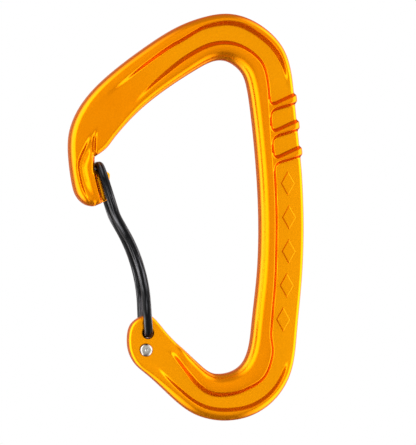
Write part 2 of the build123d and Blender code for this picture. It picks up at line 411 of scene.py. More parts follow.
spacing = np.full(len(probe), 0.45)
spacing[(probe_points[:, 0] > 10) & (np.abs(probe_points[:, 1] + 16) < 13.5)] = 0.17
spacing[(probe_points[:, 1] > 3) & (np.abs(probe_points[:, 0] + 5) < 6)] = 0.35
spacing[:60] = 0.3
stations = [0.0]
while stations[-1] < probe[-1]:
    stations.append(stations[-1] + float(np.interp(stations[-1], probe, evenly(spacing, 4))))
stations = np.array(stations) / stations[-1] * probe[-1]
outer_points = at_length(outer_side, outer_along, stations * outer_along[-1] / probe[-1])
rope_points = at_length(rope_side, rope_along, np.interp(stations, probe, reach))
middles = (outer_points + rope_points) / 2
along_bar = lengths(middles)
bar_width = np.linalg.norm(outer_points - rope_points, axis=1)
print(len(stations), "sections, bar", round(along_bar[-1]), "mm long")
print("bar width", bar_width.min().round(2), "to", bar_width.max().round(2))

# %% [markdown]
# **The numbers that change along the bar.**  Each is given at a few places, as the point of
# the bar it belongs to and its value there, and eased from one to the next.
#
# * The rail is the thick round part that the rope runs over, and the rim is the thin raised
#   lip on the outside of the two bends.  Each has a width and a top.
# * The web is the sunk floor between them.  It rises to the full thickness along the arm.
# * Both long edges are rounded, the rope side by about 3 mm and the outer side by 1 to 2 mm.

# %% Widths and heights along the bar
def place_on_bar(x, z):
    """How far along the bar a point lies."""
    return along_bar[nearest(middles, (x, z))]


def along_the_bar(stops):
    """One value for each section, eased between stops of (x, z, value)."""
    where = [place_on_bar(x, z) for x, z, value in stops]
    values = np.interp(along_bar, where, [value for x, z, value in stops])
    return evenly_by_length(values, 1.2)


def evenly_by_length(values, width):
    """Values smoothed along the bar by a bell of the given width in millimetres."""
    steady = np.arange(0, along_bar[-1] + 0.2, 0.2)
    smooth = evenly(np.interp(steady, along_bar, values), int(width / 0.2))
    return np.interp(along_bar, steady, smooth)


rail_width = along_the_bar([
    (-15, -71, 2.6), (-10.8, -71, 2.6), (-6.8, -75.8, 3.7), (-3.9, -78.5, 4.3), (-1.2, -80.1, 4.9),
    (3.4, -80.4, 5.0), (7.5, -79.4, 5.1), (11.9, -76.5, 5.9), (14.1, -70, 5.4), (13.4, -66.8, 4.3),
    (14.3, -45.7, 3.7), (14.2, -23.3, 3.8), (13.6, -16.8, 3.9), (13.1, -9.8, 4.3),
    (11.1, -0.6, 5.0), (2.2, 4.2, 4.2), (-3.6, 2.8, 3.95), (-8.4, -0.4, 3.8), (-15.9, -5.9, 2.9),
    (-20, -9.9, 2.3), (-27, -14, 2.2),
])
rim_width = along_the_bar([
    (-15.4, -73.4, 2.7), (-11.6, -77.4, 2.35), (-7.7, -80.6, 2.5), (3.4, -84.3, 2.65),
    (11.1, -82.1, 2.1), (14, -79.4, 1.9), (16.4, -75.3, 1.8), (16.9, -70, 1.6), (17.2, -6, 1.4),
    (16.6, -1.8, 1.6), (14.9, 1.6, 1.9), (9.9, 6.4, 2.35), (6.3, 8.3, 2.2), (2.2, 8.9, 2.3),
    (-0.7, 8.8, 2.35), (-3.6, 8.1, 2.3), (-6.5, 6.1, 2.9), (-8.4, 4.7, 3.2), (-11.1, 3.5, 3.05),
    (-21.9, -4.5, 3.3), (-27, -8, 3.1),
])
rail_top = along_the_bar([
    (-15, -71, 3.0), (-11.4, -70.2, 3.0), (-10.0, -72.0, 4.5), (-8.0, -73.9, 4.1), (-4.8, -77, 5.0),
    (-8.4, -0.4, 5.0), (-20, -9.9, 4.85), (-27, -14, 4.75),
])
rim_top = along_the_bar([
    (-15.8, -73.0, 3.0), (-13, -76, 3.5), (-8, -80, 3.9), (8, -83, 3.9), (15.5, -76.5, 3.6),
    (17, -70, 2.4), (17.2, -7, 2.4), (16.9, -2, 3.4), (14.9, 1.6, 4.7), (9.9, 6.4, 5.0),
    (-12, 3, 5.0), (-24.4, -6.6, 4.85), (-28, -10, 4.75),
])
web_top = along_the_bar([
    (-15, -71, 3.0), (-8, -76, 2.7), (-3, -80, 2.4), (-3, 5, 2.4), (-9, 1.5, 2.6), (-16, -3, 3.6),
    (-23.5, -9, 4.6), (-27, -12, 4.75),
])
rope_edge = [
    (-15, -71, 0.8, 1.1), (-11, -71, 1.1, 1.3), (-6.5, -76, 2.6, 3.0), (2, -80, 3.1, 3.7),
    (13, -60, 2.9, 3.7), (13, -15, 2.9, 3.7), (3, 4, 3.3, 3.9), (-8, 0, 2.4, 2.8),
    (-20, -8, 1.9, 2.2), (-27, -13, 1.3, 1.7),
]
rope_round = along_the_bar([(x, z, radius) for x, z, radius, drop in rope_edge])
rope_drop = along_the_bar([(x, z, drop) for x, z, radius, drop in rope_edge])
outer_round = along_the_bar([
    (-15, -72, 0.8), (-8, -80, 1.9), (8, -83, 1.9), (16, -75, 1.1), (17, -40, 1.0), (16, 0, 1.1),
    (8, 8, 1.5), (-10, 4, 1.6), (-27, -9, 1.6),
])
outer_drop = along_the_bar([
    (-15, -72, 1.1), (-8, -80, 2.4), (8, -83, 2.5), (15.5, -76, 2.0), (17, -70, 1.3),
    (17, -10, 1.3), (16, -1, 1.8), (8, 8, 3.0), (-10, 4, 3.3), (-27, -9, 3.3),
])
for title, top in (("rail", rail_top), ("rim", rim_top), ("web", web_top)):
    print(title, "top from", top[0].round(2), "to", top[-1].round(2))

# %% [markdown]
# **One section.**  Its points lie close together where the surface turns: ten over the rope
# side's rounding, ten on each wall of the recess, eight over the outer edge.  Between them a
# few are enough.  At its steepest a wall leans by about 18 degrees, as a forging's draft does,
# and it eases into floor and top.

# %% Draw every section
def wall(t):
    """A wall's rise from 0 to 1: a round foot, a straight slope and a round shoulder."""
    t, share = np.clip(t, 0, 1), 0.34
    foot = np.minimum(t, share) ** 2 / (2 * share) + np.clip(t - share, 0, 1 - 2 * share)
    return (foot + np.where(t > 1 - share, share / 2 - (1 - t) ** 2 / (2 * share), 0)) / (1 - share)


def rounding(distance, radius, drop):
    """How far an edge's rounding lowers the surface, at a distance from the edge."""
    return drop * (np.sqrt(np.maximum(0, 1 - (1 - np.clip(distance / radius, 0, 1)) ** 2)) - 1)


def col(values):
    """One value for each section, as a column beside the rows."""
    return values[:, None]


wall_half = 0.64
turn = 1 - np.cos(np.radians(np.arange(0, 90, 9)))
outer_turn = 1 - np.cos(np.radians(np.arange(0, 90, 11.25)))
wall_steps = np.array([-1, -0.84, -0.66, -0.46, -0.2, 0.2, 0.46, 0.66, 0.84, 1]) * wall_half
rail_wall = col(rail_width) + wall_steps
rim_wall = col(bar_width - rim_width) + wall_steps
shares = np.arange(1, 14) / 14
web_width = bar_width - rim_width - rail_width - 2 * wall_half
web_rows = col(rail_width + wall_half) + col(web_width) * shares
rows = np.hstack([
    col(rope_round) * turn,
    col(rope_round),
    rail_wall,
    web_rows,
    rim_wall,
    col(bar_width) - col(outer_round) * outer_turn[::-1],
])
rows = np.sort(rows, axis=1)
t_rail = wall((col(rail_width) + wall_half - rows) / (2 * wall_half))
t_rim = wall((rows - (col(bar_width - rim_width) - wall_half)) / (2 * wall_half))
heights = col(web_top) + col(rail_top - web_top) * t_rail + col(rim_top - web_top) * t_rim
heights = heights + rounding(rows, col(rope_round), col(rope_drop))
heights = heights + rounding(col(bar_width) - rows, col(outer_round), col(outer_drop))
print("lattice", rows.shape, "heights", heights.min().round(2), "to", heights.max().round(2))

# %% [markdown]
# **The ribs** run down and across the flange from the rail and wrap over the spine's edge.
# They widen a little outwards.  On a forging they blend into the rail, so each is an eased
# ridge that lifts the surface to the rib's own height and pushes the edge out by 0.25 mm.

# %% Raise the ribs
across_bar = (outer_points - rope_points) / col(bar_width)
flat_places = rope_points[:, None, :] + rows[:, :, None] * across_bar[:, None, :]
rib_half = 0.62 + 0.4 * ease((rows - col(rail_width)) / 7)
far_away = 99.0
on_spine = flat_places[:, :, 0] > spine_edge - 12
to_rib = np.full(rows.shape, far_away)
for middle in rib_middles:
    away = np.abs(off_rib(flat_places, middle)) - rib_half
    to_rib = np.minimum(to_rib, np.where(on_spine, away, far_away))
to_rail = rows - col(rail_width)
corner = 1.5
in_corner = np.sqrt(np.maximum(corner - to_rail, 0) ** 2 + np.maximum(corner - to_rib, 0) ** 2)
near_both = (to_rail < corner) & (to_rib < corner)
to_wall = np.where(near_both, corner - in_corner, np.minimum(to_rail, to_rib))
rib_rise = wall((0.5 - to_wall) / 1.0) * (to_rib < corner) * (to_rail > -wall_half)
rib_top = np.minimum(4.85, col(rail_top)) + rounding(col(bar_width) + 0.2 - rows, 1.7, 2.6)
near_edge = ease((rows - col(bar_width) + 2.0) / 2.0)
heights = np.maximum(heights, heights + (rib_top - heights) * rib_rise)
rib_overhang = 0.25
rows = rows + rib_overhang * rib_rise * near_edge
places = rope_points[:, None, :] + rows[:, :, None] * across_bar[:, None, :]
print("ribs stand", (rows[:, -1] - bar_width).max().round(2), "mm proud of the edge")

# %% [markdown]
# **The lug and the nose** are filled with triangles.  Rows of points follow the outline at
# small distances, where the edge is rounded, and a honeycomb of points fills the rest.
# Blender's constrained Delaunay triangulation joins them and keeps every outline edge.  The
# same triangles serve the front and the back.

# %% A helper that fills a flat region with triangles
def resampled(line, step):
    """A line of points about a step apart, with both ends kept."""
    along = lengths(line)
    return at_length(line, along, np.linspace(0, along[-1], max(2, int(round(along[-1] / step)) + 1)))


def distance_to(points, line):
    """The distance from each point to a line of points."""
    start, step = line[:-1], np.diff(line, axis=0)
    size = np.maximum((step**2).sum(1), 1e-12)
    result = np.empty(len(points))
    for first in range(0, len(points), 2000):
        part = points[first : first + 2000]
        t = np.clip(((part[:, None, :] - start) * step).sum(2) / size, 0, 1)
        gap = part[:, None, :] - (start + t[:, :, None] * step)
        result[first : first + 2000] = np.sqrt((gap**2).sum(2).min(1))
    return result


def inside_of(points, ring):
    """Whether each point lies inside a closed ring."""
    x, z = points[:, 0], points[:, 1]
    crossings = np.zeros(len(points), int)
    for p, q in zip(ring, np.roll(ring, -1, axis=0)):
        if p[1] != q[1]:
            over = (p[1] > z) != (q[1] > z)
            crossings += over & (x < (q[0] - p[0]) * (z - p[1]) / (q[1] - p[1]) + p[0])
    return crossings % 2 == 1


def leftward(line):
    """The direction that points to the left of a line, at each of its points."""
    slope = np.gradient(line, axis=0)
    slope /= np.maximum(np.linalg.norm(slope, axis=1), 1e-9)[:, None]
    return np.stack([-slope[:, 1], slope[:, 0]], axis=1)


def fill(seam, edge, inner_rings, ring_gaps, grid, guide=None):
    """Points and triangles over the region inside the seam and the edge, less the inner rings.

    Rows of points also follow the guide, where the surface has a steep wall."""
    border = np.vstack([seam, edge[1:-1]])
    sets, links, count = [border], [], len(border)
    links += [(i, (i + 1) % count) for i in range(count)]
    for ring in inner_rings:
        links += [(count + i, count + (i + 1) % len(ring)) for i in range(len(ring))]
        sets.append(ring)
        count += len(ring)
    walls = [edge] + [np.vstack([ring, ring[:1]]) for ring in inner_rings]

    def clear(points, gap):
        good = inside_of(points, border)
        for ring in inner_rings:
            good &= ~inside_of(points, ring)
        points = points[good]
        nearest_wall = np.min([distance_to(points, wall) for wall in walls], axis=0)
        points = points[nearest_wall > gap]
        return points[distance_to(points, seam) > 0.12]

    for gap in ring_gaps:
        for wall in walls:
            left = leftward(wall)
            for side in (-1, 1):
                sets.append(clear(wall + side * gap * left, 0.97 * gap))
    low, high = border.min(0), border.max(0)
    row_step = grid * 0.866
    x, z = np.meshgrid(np.arange(low[0], high[0], grid), np.arange(low[1], high[1], row_step))
    x = x + (np.arange(x.shape[0]) % 2)[:, None] * grid / 2
    spread = clear(np.stack([x.ravel(), z.ravel()], axis=1), ring_gaps[-1] + 0.5 * grid)
    if guide is not None:
        spread = spread[distance_to(spread, guide) > 0.78]
        left = leftward(guide)
        for offset in (-0.6, -0.45, -0.3, -0.15, 0, 0.15, 0.3, 0.45, 0.6):
            sets.append(clear(guide + offset * left, ring_gaps[-1] + 0.1))
    sets.append(spread)
    points = np.vstack(sets)
    made = geometry.delaunay_2d_cdt([Vector(p) for p in points], links, [], 0, 1e-7, True)
    out, triangles = np.array([tuple(v) for v in made[0]]), np.array(made[2])
    centres = out[triangles].mean(1)
    good = inside_of(centres, border)
    for ring in inner_rings:
        good &= ~inside_of(centres, ring)
    corners = out[triangles]
    spans = corners[:, 1:] - corners[:, :1]
    area = np.abs(spans[:, 0, 0] * spans[:, 1, 1] - spans[:, 0, 1] * spans[:, 1, 0])
    good &= area > 2e-5
    return out, triangles[good]


# %% [markdown]
# **The lug** is a flat plate, 6 mm thick, whose edges are just broken.  The two pivot holes
# have a small rounding of their own.

# %% Fill the lug
lug_seam = places[0]
lug_edge = resampled(lug_line, 0.3)
lug_edge[0], lug_edge[-1] = lug_seam[0], lug_seam[-1]
hole_rings = [resampled(np.vstack([hole, hole[:1]]), 0.22)[:-1] for hole in holes]
lug_gaps = [0.02, 0.08, 0.18, 0.33, 0.52, 0.8]
lug_half = 3.0
lug_points, lug_faces = fill(lug_seam[::-1], lug_edge, hole_rings, lug_gaps, 0.42)
to_edge = distance_to(lug_points, lug_edge)
lug_heights = lug_half + rounding(to_edge, 0.8, 1.1)
for ring in hole_rings:
    to_ring = distance_to(lug_points, np.vstack([ring, ring[:1]]))
    lug_heights = lug_heights + rounding(to_ring, 0.3, 0.25)
print("lug:", len(lug_points), "points,", len(lug_faces), "triangles")

# %% [markdown]
# **The nose** is where the bar ends in a hook.  Between the gate's two legs it is thinned to
# a tongue, 5.8 mm thick, with a barb on its end.  Beside the tongue stands a rounded boss, and a
# groove divides the boss from the outer rim.  A narrow crease runs up from the notch.

# %% Fill the nose and shape its groove, boss, tongue and crease
def signed_to(points, line):
    """The distance to a line, positive on its right when going down, and the share along it."""
    line = np.array(line, float)
    along = lengths(line)
    start, step = line[:-1], np.diff(line, axis=0)
    size = (step**2).sum(1)
    t = np.clip(((points[:, None, :] - start) * step).sum(2) / size, 0, 1)
    gap = points[:, None, :] - (start + t[:, :, None] * step)
    far = np.sqrt((gap**2).sum(2))
    best = far.argmin(1)
    pick = np.arange(len(points))
    side = step[best, 0] * gap[pick, best, 1] - step[best, 1] * gap[pick, best, 0]
    share = (along[best] + t[pick, best] * np.sqrt(size[best])) / along[-1]
    return far[pick, best] * np.sign(side), share


def curved(points):
    """A smooth open line through a few points."""
    points = np.array(points, float)
    ends = np.vstack([2 * points[0] - points[1], points, 2 * points[-1] - points[-2]])
    t = np.linspace(0, 1, 12)[:, None]
    parts = []
    for p, q, r, s in zip(ends, ends[1:], ends[2:], ends[3:]):
        square, cube = 2 * p - 5 * q + 4 * r - s, 3 * q - p - 3 * r + s
        parts.append(0.5 * (2 * q + (r - p) * t + square * t**2 + cube * t**3))
    return np.vstack(parts)[::2]


nose_seam = places[-1]
nose_edge = resampled(nose_line, 0.26)
nose_edge[0], nose_edge[-1] = nose_seam[-1], nose_seam[0]
tip = int(nose_edge[:, 1].argmin())
nose_gaps = [0.02, 0.08, 0.18, 0.32, 0.5, 0.72, 0.98, 1.28]
tongue_line = [(-29.95, -23.2), (-29.95, -26.0), (-29.3, -29.5), (-28.5, -32.6), (-27.6, -36.5)]
crease_line = [(-28.8, -15.4), (-29.8, -18.4), (-30.0, -21), tongue_line[0]]
bank_line = [
    (-30.6, -16.6), (-32.2, -20.3), (-33.9, -24.3), (-34.0, -27), (-33.0, -31), (-31.3, -34.6),
]
nose_half, tongue_half, tongue_top = 4.75, 2.9, -23.0
notch_line = resampled(curved(crease_line + tongue_line[1:]), 0.22)
nose_points, nose_faces = fill(nose_seam, nose_edge, [], nose_gaps, 0.3, notch_line)


def nose_height(points):
    """Half the nose's thickness at points of the nose."""
    height = np.full(len(points), nose_half)
    bank, share = signed_to(points, curved(bank_line))
    depth = 1.15 * ease(share / 0.32) * (1 - 0.5 * ease((share - 0.7) / 0.3))
    height = height - depth * (wall((bank + 0.3) / 1.15) - ease((bank - 0.85) / 2.0))
    crease, share = signed_to(points, curved(crease_line))
    depth = 0.9 * ease(share / 0.8)
    height = height - depth * np.exp(-((crease / np.where(crease < 0, 0.46, 0.34)) ** 2))
    tongue, share = signed_to(points, curved(tongue_line))
    lower = wall((tongue + 0.45) / 0.9) * (points[:, 1] < tongue_top)
    height = height + (tongue_half - height) * lower
    outer = rounding(distance_to(points, nose_edge[: tip + 1]), 1.6, 3.3) * (1 - 0.6 * lower)
    inner = rounding(distance_to(points, nose_edge[tip:]), 1.3, 1.7) * (1 - 0.75 * lower)
    return height + np.minimum(outer, inner)


nose_heights = nose_height(nose_points)
print("nose:", len(nose_points), "points,", len(nose_faces), "triangles")
print("nose heights", nose_heights.min().round(2), "to", nose_heights.max().round(2))

# %% [markdown]
# **One closed skin.**  The sections' front and back, the two filled ends and the walls that
# join front to back along every edge become one mesh.  Two helpers add the points and the
# walls to one list.

# %% Helpers that add points and walls to the skin
skin_points, skin_faces = [], []


def add_points(flat, height, side):
    """Adds points at y = side * height and returns the index of the first one."""
    first = len(skin_points)
    skin_points.extend((float(x), float(side * h), float(z)) for (x, z), h in zip(flat, height))
    return first


def add_wall(line, height, closed):
    """Adds the wall between front and back along a line of edge points."""
    shares = (-1, -0.8, -0.4, 0, 0.4, 0.8, 1)
    starts = [add_points(line, height * share, 1) for share in shares]
    count = len(line)
    for low_row, high_row in zip(starts, starts[1:]):
        for i in range(count if closed else count - 1):
            j = (i + 1) % count
            skin_faces.append((low_row + i, low_row + j, high_row + j, high_row + i))


section_count, row_count = heights.shape
print("sections:", section_count, "rows:", row_count)

# %% [markdown]
# The filled ends meet the bar at the seams.  There the two descriptions of the surface differ
# a little, so each seam point of a filled end is set to the section's own height before the
# walls are added.  Then doubles along the seams are merged, and every face is turned outwards.

# %% Match the seams and join the skin
def set_heights(heights_of, flat, seam_flat, seam_heights):
    """Gives the points on a seam the heights of the section there."""
    for point, height in zip(seam_flat, seam_heights):
        heights_of[nearest(flat, point)] = height


set_heights(lug_heights, lug_points, places[0], heights[0])
set_heights(nose_heights, nose_points, places[-1], heights[-1])
for side in (-1, 1):
    first = add_points(places.reshape(-1, 2), heights.ravel(), side)
    for i in range(section_count - 1):
        for k in range(row_count - 1):
            here = first + i * row_count + k
            skin_faces.append((here, here + 1, here + row_count + 1, here + row_count))
    for flat, height, faces in (
        (lug_points, lug_heights, lug_faces),
        (nose_points, nose_heights, nose_faces),
    ):
        first = add_points(flat, height, side)
        skin_faces.extend(tuple(first + int(i) for i in face) for face in faces)
add_wall(places[:, 0], heights[:, 0], False)
add_wall(places[:, -1], heights[:, -1], False)
for flat, height, line in (
    (lug_points, lug_heights, lug_edge),
    (nose_points, nose_heights, nose_edge),
):
    add_wall(line, np.array([height[nearest(flat, p)] for p in line]), False)
for ring in hole_rings:
    add_wall(ring, np.array([lug_heights[nearest(lug_points, p)] for p in ring]), True)

skin = new_piece("forged_frame", skin_points, skin_faces, anodised)
tidy = bmesh.new()
tidy.from_mesh(skin.data)
bmesh.ops.remove_doubles(tidy, verts=tidy.verts, dist=2e-6)
bmesh.ops.recalc_face_normals(tidy, faces=tidy.faces)
open_edges = sum(1 for edge in tidy.edges if len(edge.link_faces) != 2)
triangles = sum(len(face.verts) - 2 for face in tidy.faces)
tidy.to_mesh(skin.data)
tidy.free()
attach(skin, "frame")
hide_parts("frame")
print("forged frame:", triangles, "triangles,", open_edges, "open edges")

# %% [markdown]
# **The gate's wire** is one bent wire.  It is swept here with Geometry Nodes, because a wire
# is the plainest case of a shape that follows a path: a chain of corner points becomes a
# curve, each corner is rounded by its own bend radius, and a circle is swept along it.  The
# two halves move with different bodies, so each is a mesh of its own, and they meet in the
# middle of the crossbar.

# %% The tree that sweeps a wire
def wire_tree():
    """A node tree that sweeps a round wire along a chain of corners."""
    tree = bpy.data.node_groups.new("swept_wire", "GeometryNodeTree")
    tree.interface.new_socket("Geometry", in_out="INPUT", socket_type="NodeSocketGeometry")
    for name in ("Wire Radius", "Step"):
        tree.interface.new_socket(name, in_out="INPUT", socket_type="NodeSocketFloat")
    tree.interface.new_socket("Sides", in_out="INPUT", socket_type="NodeSocketInt")
    tree.interface.new_socket("Material", in_out="INPUT", socket_type="NodeSocketMaterial")
    tree.interface.new_socket("Geometry", in_out="OUTPUT", socket_type="NodeSocketGeometry")
    given = tree.nodes.new("NodeGroupInput").outputs
    bend = node(tree, "GeometryNodeInputNamedAttribute", {"data_type": "FLOAT"}, Name="bend")
    chain = node(tree, "GeometryNodeMeshToCurve", Mesh=given["Geometry"])
    rounded = node(
        tree, "GeometryNodeFilletCurve", {"mode": "POLY"}, Curve=chain.outputs[0], Count=24,
        Radius=bend.outputs[0], Limit_Radius=True,
    )
    path = node(
        tree, "GeometryNodeResampleCurve", {"mode": "LENGTH"}, Curve=rounded.outputs[0],
        Length=given["Step"],
    )
    ring = node(
        tree, "GeometryNodeCurvePrimitiveCircle", {"mode": "RADIUS"}, Resolution=given["Sides"],
        Radius=given["Wire Radius"],
    )
    along, around = [
        node(
            tree, "GeometryNodeStoreNamedAttribute", {"data_type": "FLOAT", "domain": "POINT"},
            Geometry=curve.outputs[0], Name=name,
            Value=node(tree, "GeometryNodeSplineParameter").outputs[counted],
        )
        for curve, name, counted in ((path, "run", "Length"), (ring, "turn", "Factor"))
    ]
    swept = node(
        tree, "GeometryNodeCurveToMesh", Curve=along.outputs[0], Profile_Curve=around.outputs[0],
        Fill_Caps=True,
    )
    smooth = node(tree, "GeometryNodeSetShadeSmooth", Geometry=swept.outputs[0])
    whole = node(tree, "GeometryNodeRealizeInstances", Geometry=smooth.outputs[0])
    done = node(tree, "GeometryNodeSetMaterial", Geometry=whole.outputs[0], Material=given["Material"])
    result = tree.nodes.new("NodeGroupOutput")
    tree.links.new(done.outputs[0], result.inputs["Geometry"])
    return tree


def made_by(tree, source, name, **inputs):
    """Runs a tree on an object and returns the result as a plain mesh object."""
    modifier = source.modifiers.new("made", "NODES")
    modifier.node_group = tree
    sockets = [item for item in tree.interface.items_tree if item.in_out == "INPUT"]
    names = {item.name: item.identifier for item in sockets}
    for key, value in inputs.items():
        modifier[names[key.replace("_", " ")]] = value
    source.update_tag()
    bpy.context.view_layer.update()
    evaluated = source.evaluated_get(bpy.context.evaluated_depsgraph_get())
    result = bpy.data.meshes.new_from_object(evaluated)
    result.name = name
    source.modifiers.remove(modifier)
    bpy.data.objects.remove(source)
    piece = bpy.data.objects.new(name, result)
    bpy.context.scene.collection.objects.link(piece)
    return piece


sweep = wire_tree()
print("tree:", sweep.name, "with", len(sweep.nodes), "nodes")

# %% [markdown]
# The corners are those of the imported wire: the gate swings about its front pivot and twists
# about its crossbar, and the legs lie in two planes, in front of the tongue and behind it.
# Between pivot and crossbar each leg has two gentle bends, which keep the rope off the nose.

# %% Sweep the two halves of the gate
wire_radius = 1.05
gate_front = np.array((-16.8, -65.7))
gate_back = gate_front + (-0.4, -4.1)
gate_lean, gate_rise = 11.7, 40.2
crossbar = gate_front + (-gate_lean, gate_rise)
leg_offset = 4.25
half_gap = 0.015  # between each half's end and the middle of the crossbar
bend_radii = (0, 2.6, 12.0, 40.0, 1.35, 0)


def leg_bend(share, bow):
    """A bend of the legs: a share of the way up to the crossbar, and bowed off that line."""
    return gate_front + (-gate_lean * share + bow, gate_rise * share)


def gate_half(name, side, pivot, end):
    """Half of the crossbar, one leg and its pivot end, as one swept wire."""
    leg = (crossbar, leg_bend(0.70, 0.3), leg_bend(0.405, 3.6), pivot)
    corners = [(crossbar, side * half_gap), *((p, side * leg_offset) for p in leg), (pivot, end)]
    links = [(i, i + 1) for i in range(len(corners) - 1)]
    chain = bpy.data.meshes.new(name + "_corners")
    chain.from_pydata([(p[0] * MM, y * MM, p[1] * MM) for p, y in corners], links, [])
    bends = chain.attributes.new("bend", "FLOAT", "POINT")
    bends.data.foreach_set("value", [radius * MM for radius in bend_radii])
    holder = bpy.data.objects.new(name + "_corners", chain)
    bpy.context.scene.collection.objects.link(holder)
    piece = made_by(
        sweep, holder, name,
        Wire_Radius=wire_radius * MM, Step=0.22 * MM, Sides=28, Material=wire_black,
    )
    mesh = piece.data
    run = np.zeros(len(mesh.vertices))
    turn = np.zeros(len(mesh.vertices))
    mesh.attributes["run"].data.foreach_get("value", run)
    mesh.attributes["turn"].data.foreach_get("value", turn)
    angle = turn * 2 * math.pi
    strand = [run / MM, np.cos(angle) * wire_radius, np.sin(angle) * wire_radius]
    counted = mesh.attributes.new("strand", "FLOAT_VECTOR", "POINT")
    counted.data.foreach_set("vector", np.stack(strand, axis=1).ravel())
    return piece


front_leg = gate_half("gate_front_leg_wire", -1, gate_front, 2.9)
back_leg = gate_half("gate_back_leg_wire", 1, gate_back, -3.05)
for piece, body, cad in (
    (front_leg, "gate_front_leg", "gate_wire_front"),
    (back_leg, "gate_back_leg", "gate_wire_back"),
):
    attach(piece, body)
    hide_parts(cad)
    print(piece.name, len(piece.data.vertices), "points")

# %% [markdown]
# **The swaged head** is the wire's end, hammered flat on the lug.  Its profile is turned round
# the wire's axis: a low dome with a worn rim and a dimple where the tool stood.

# %% Turn the swaged head
head_low, head_high = (np.array(corner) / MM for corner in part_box("swaged_head"))
head_x, head_z = (head_low[0] + head_high[0]) / 2, (head_low[2] + head_high[2]) / 2
head_radius = (head_high[0] - head_low[0]) / 2
profile = [
    (0.0, 0.36), (0.09, 0.37), (0.16, 0.42), (0.22, 0.50), (0.28, 0.545), (0.35, 0.54),
    (0.45, 0.52), (0.56, 0.48), (0.67, 0.425), (0.77, 0.35), (0.86, 0.26), (0.93, 0.16),
    (0.975, 0.07), (0.985, 0.0),
]
ring_size = 56
points, faces = [(head_x, head_high[1] - profile[0][1], head_z)], []
for share, lift in profile[1:]:
    for i in range(ring_size):
        angle = 2 * math.pi * i / ring_size
        wobble = 1 + 0.012 * math.sin(3 * angle + 0.6) + 0.008 * math.sin(5 * angle)
        radius = share * head_radius * (wobble if share > 0.5 else 1)
        x, z = head_x + radius * math.cos(angle), head_z + radius * math.sin(angle)
        points.append((x, head_high[1] - lift, z))
faces += [(0, 1 + i, 1 + (i + 1) % ring_size) for i in range(ring_size)]
for row in range(len(profile) - 2):
    start = 1 + row * ring_size
    for i in range(ring_size):
        j = (i + 1) % ring_size
        faces.append((start + i, start + ring_size + i, start + ring_size + j, start + j))
last = 1 + (len(profile) - 2) * ring_size
points.append((head_x, head_high[1], head_z))
faces += [(last + (i + 1) % ring_size, last + i, len(points) - 1) for i in range(ring_size)]
head = new_piece("swaged_wire_head", points, faces, head_steel)
turned = bmesh.new()
turned.from_mesh(head.data)
bmesh.ops.recalc_face_normals(turned, faces=turned.faces)
turned.to_mesh(head.data)
turned.free()
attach(head, "gate_back_leg")
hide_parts("swaged_head")
print("head:", round(2 * head_radius, 2), "mm across")

# %% [markdown]
# **The raised marks** on the flange are a row of five plain lozenges, forged in with the
# frame.  They repeat, so they are scattered with Geometry Nodes: one small lozenge with a
# rounded top, placed on a row of points that follows the spine's bow, on both faces.

# %% The tree that sets lozenges on points
def mark_tree():
    """A node tree that puts one copy of a lozenge on every point, turned by an attribute."""
    tree = bpy.data.node_groups.new("row_of_marks", "GeometryNodeTree")
    tree.interface.new_socket("Geometry", in_out="INPUT", socket_type="NodeSocketGeometry")
    tree.interface.new_socket("Lozenge", in_out="INPUT", socket_type="NodeSocketObject")
    tree.interface.new_socket("Material", in_out="INPUT", socket_type="NodeSocketMaterial")
    tree.interface.new_socket("Geometry", in_out="OUTPUT", socket_type="NodeSocketGeometry")
    given = tree.nodes.new("NodeGroupInput").outputs
    one = node(tree, "GeometryNodeObjectInfo", Object=given["Lozenge"])
    turned = node(tree, "GeometryNodeInputNamedAttribute", {"data_type": "FLOAT_VECTOR"}, Name="turn")
    spread = node(
        tree, "GeometryNodeInstanceOnPoints", Points=given["Geometry"],
        Instance=one.outputs["Geometry"], Rotation=turned.outputs[0],
    )
    whole = node(tree, "GeometryNodeRealizeInstances", Geometry=spread.outputs[0])
    done = node(tree, "GeometryNodeSetMaterial", Geometry=whole.outputs[0], Material=given["Material"])
    result = tree.nodes.new("NodeGroupOutput")
    tree.links.new(done.outputs[0], result.inputs["Geometry"])
    return tree


mark_length, mark_width, web_floor = 6.0, 3.4, 2.4
levels = [(1.06, -0.25), (1.0, 0.0), (0.985, 0.16), (0.95, 0.28), (0.88, 0.37), (0.78, 0.41), (0.55, 0.42)]
side_steps = 5
points, faces = [], []
corners = [(0, -mark_length / 2), (mark_width / 2, 0), (0, mark_length / 2), (-mark_width / 2, 0)]
for share, lift in levels:
    for (x0, z0), (x1, z1) in zip(corners, corners[1:] + corners[:1]):
        for k in range(side_steps):
            t = k / side_steps
            points.append(((x0 + (x1 - x0) * t) * share, -lift, (z0 + (z1 - z0) * t) * share))
ring_size = len(corners) * side_steps
last = (len(levels) - 1) * ring_size
for low in range(0, last, ring_size):
    for i in range(ring_size):
        j = (i + 1) % ring_size
        faces.append((low + i, low + j, low + ring_size + j, low + ring_size + i))
faces.append(tuple(reversed(range(ring_size))))
points.append((0, -levels[-1][1], 0))
faces += [(last + i, last + (i + 1) % ring_size, len(points) - 1) for i in range(ring_size)]
lozenge = new_piece("lozenge", points, faces, anodised)
for polygon in lozenge.data.polygons:
    polygon.use_smooth = False
